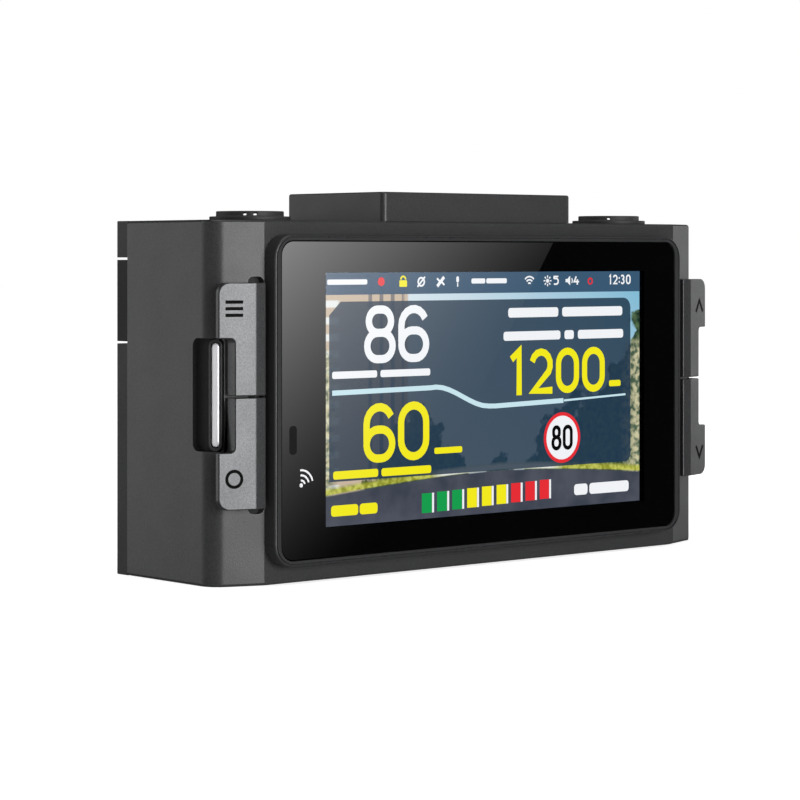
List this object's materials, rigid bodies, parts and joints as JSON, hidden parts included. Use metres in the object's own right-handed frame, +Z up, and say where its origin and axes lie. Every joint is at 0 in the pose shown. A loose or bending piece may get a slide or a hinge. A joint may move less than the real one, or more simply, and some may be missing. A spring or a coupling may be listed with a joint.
{
  "type": "radar detector",
  "caption": "In-car radar detector and recorder: a low box with a glass screen, corner button pairs, a dock block on top and a lens and sensor window at the rear.",
  "frame": {"origin": "middle of the underside, at the centre of the overall box", "axes": "+X right as seen facing the screen, +Y from the screen towards the road, +Z up"},
  "size_m": [0.1022, 0.0318, 0.0575],
  "materials": {
    "housing_plastic": "fine-grained satin",
    "rear_plastic": "fine-grained satin",
    "window_plastic": "smooth, dark infrared-passing plastic",
    "bezel_plastic": "smooth satin",
    "cover_glass": "polished, black-backed",
    "screen": "lit display",
    "white_plastic": "plain",
    "steel": "plated sheet",
    "flex_film": "thin film",
    "sensor_lens": "smooth, dark red",
    "button_plastic": "satin metallic paint",
    "bright_metal": "polished",
    "circuit_board": "solder mask",
    "aluminium": "bead blasted",
    "gold_contact": "gold flash",
    "magnet_nickel": "nickel plated",
    "rubber": "matt",
    "lens_trim": "satin",
    "black_plastic": "matt",
    "lens_glass": "coated glass",
    "zinc_alloy": "die cast",
    "antenna_ceramic": "unglazed ceramic",
    "capacitor_sleeve": "shrink sleeve",
    "black_screw": "black zinc"
  },
  "bodies": {
    "case": {"front_housing": "housing_plastic", "rear_cover": "rear_plastic", "sensor_window": "window_plastic", "display_bezel": "bezel_plastic", "cover_glass": "cover_glass", "lcd_panel": "screen", "backlight": "white_plastic", "lcd_bracket": "steel", "bracket_screws": "steel", "display_flex": "flex_film", "gesture_sensor": "sensor_lens", "power_key_surround": "bezel_plastic", "record_key_surround": "bezel_plastic", "left_button_board": "circuit_board", "right_button_board": "circuit_board", "left_switches": "steel", "right_switches": "steel", "main_board": "circuit_board", "heat_sink": "aluminium", "wifi_module": "steel", "dock_block": "housing_plastic", "dock_contacts": "gold_contact", "dock_magnets": "magnet_nickel", "dock_screws": "steel", "top_cap_left": "rubber", "top_cap_right": "rubber", "lens_ring": "lens_trim", "lens_barrel": "black_plastic", "lens_glass": "lens_glass", "camera_board": "circuit_board", "radar_horn": "zinc_alloy", "radar_module": "steel", "laser_receiver": "sensor_lens", "speaker": "black_plastic", "microphone": "steel", "gps_antenna": "antenna_ceramic", "supercapacitors": "capacitor_sleeve", "card_socket": "steel", "usb_socket": "steel", "case_screws": "black_screw"},
    "menu": {"menu_button": "button_plastic"},
    "ok": {"ok_button": "button_plastic"},
    "up": {"up_button": "button_plastic"},
    "down": {"down_button": "button_plastic"},
    "power": {"power_key": "bright_metal"},
    "record": {"record_key": "bright_metal"},
    "card": {"memory_card": "black_plastic"}
  },
  "joints": [
    {"name": "menu_press", "type": "slide", "parent": "case", "child": "menu", "axis": [0.299, 0.9542, 0], "range_m": [0, 0.0004], "stiffness_N_per_m": 900},
    {"name": "ok_press", "type": "slide", "parent": "case", "child": "ok", "axis": [0.299, 0.9542, 0], "range_m": [0, 0.0004], "stiffness_N_per_m": 900},
    {"name": "up_press", "type": "slide", "parent": "case", "child": "up", "axis": [-0.299, 0.9542, 0], "range_m": [0, 0.0004], "stiffness_N_per_m": 900},
    {"name": "down_press", "type": "slide", "parent": "case", "child": "down", "axis": [-0.299, 0.9542, 0], "range_m": [0, 0.0004], "stiffness_N_per_m": 900},
    {"name": "power_press", "type": "slide", "parent": "case", "child": "power", "axis": [0.7071, 0.7071, 0], "range_m": [0, 0.0004], "stiffness_N_per_m": 900},
    {"name": "record_press", "type": "slide", "parent": "case", "child": "record", "axis": [-0.7071, 0.7071, 0], "range_m": [0, 0.0004], "stiffness_N_per_m": 900},
    {"name": "card_eject", "type": "slide", "parent": "case", "child": "card", "axis": [1, 0, 0], "range_m": [-0.0003, 0.011]}
  ]
}
